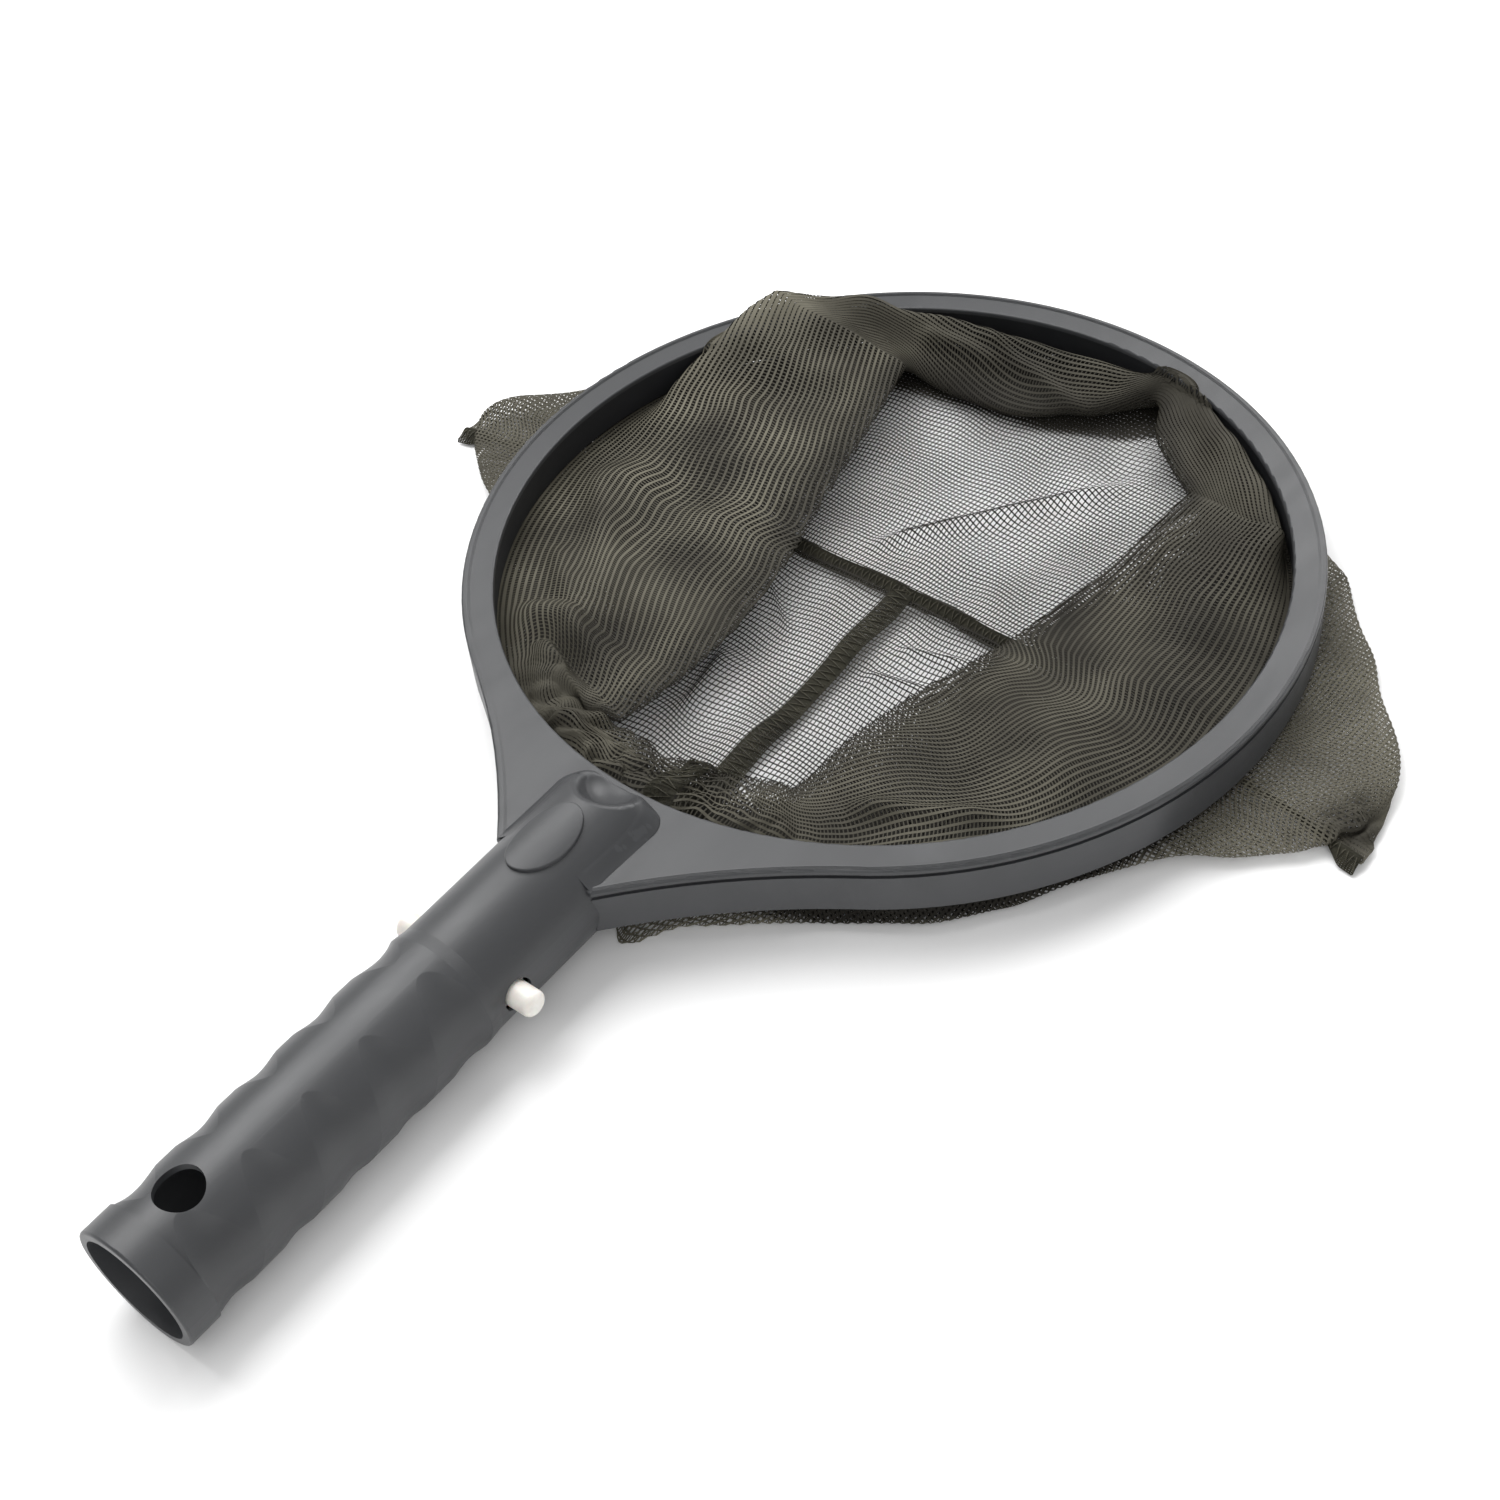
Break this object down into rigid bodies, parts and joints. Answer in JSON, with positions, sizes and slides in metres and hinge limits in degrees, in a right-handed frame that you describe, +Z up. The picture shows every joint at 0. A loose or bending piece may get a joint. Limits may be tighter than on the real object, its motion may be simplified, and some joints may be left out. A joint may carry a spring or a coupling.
{
  "type": "leaf skimmer net",
  "caption": "Hand leaf skimmer: round moulded hoop holding a fine mesh bag, with a scalloped socket handle whose sprung buttons lock it into a telescopic pool pole.",
  "frame": {"origin": "centre of the handle tube's open mouth", "axes": "+Y along the handle tube towards the hoop, +Z up out of the hoop's flange, +X to the right seen from the handle"},
  "size_m": [0.2572, 0.3294, 0.029],
  "materials": {
    "frame_plastic": "moulded grey polypropylene, fine satin grain",
    "clamp_plastic": "near-black moulded plastic",
    "clip_steel": "bright rolled spring steel strip",
    "button_plastic": "off-white moulded acetal",
    "net_mesh": "fine olive-grey knitted polyester mesh",
    "seam_fabric": "folded mesh with overlock stitching",
    "cord_fibre": "twisted polyester cord"
  },
  "bodies": {
    "frame": {"hoop_rim": "frame_plastic", "hoop_skirt": "frame_plastic", "handle_tube": "frame_plastic", "oval_badge": "frame_plastic", "net_clamp_ring": "clamp_plastic", "net_hem": "seam_fabric", "hem_cord": "cord_fibre", "net_bag": "net_mesh", "side_seam": "seam_fabric", "bottom_seam": "seam_fabric", "clip_bend": "clip_steel"},
    "left_button": {"clip_arm_left": "clip_steel", "button_left": "button_plastic"},
    "right_button": {"clip_arm_right": "clip_steel", "button_right": "button_plastic"}
  },
  "joints": [
    {"name": "left_button_press", "type": "hinge", "parent": "frame", "child": "left_button", "pos_m": [-0.0106, 0.1185, 0], "axis": [0, 0, 1], "range_deg": [0, 8.5], "stiffness_Nm_per_rad": 2.5},
    {"name": "right_button_press", "type": "hinge", "parent": "frame", "child": "right_button", "pos_m": [0.0106, 0.1185, 0], "axis": [0, 0, -1], "range_deg": [0, 8.5], "stiffness_Nm_per_rad": 2.5}
  ]
}
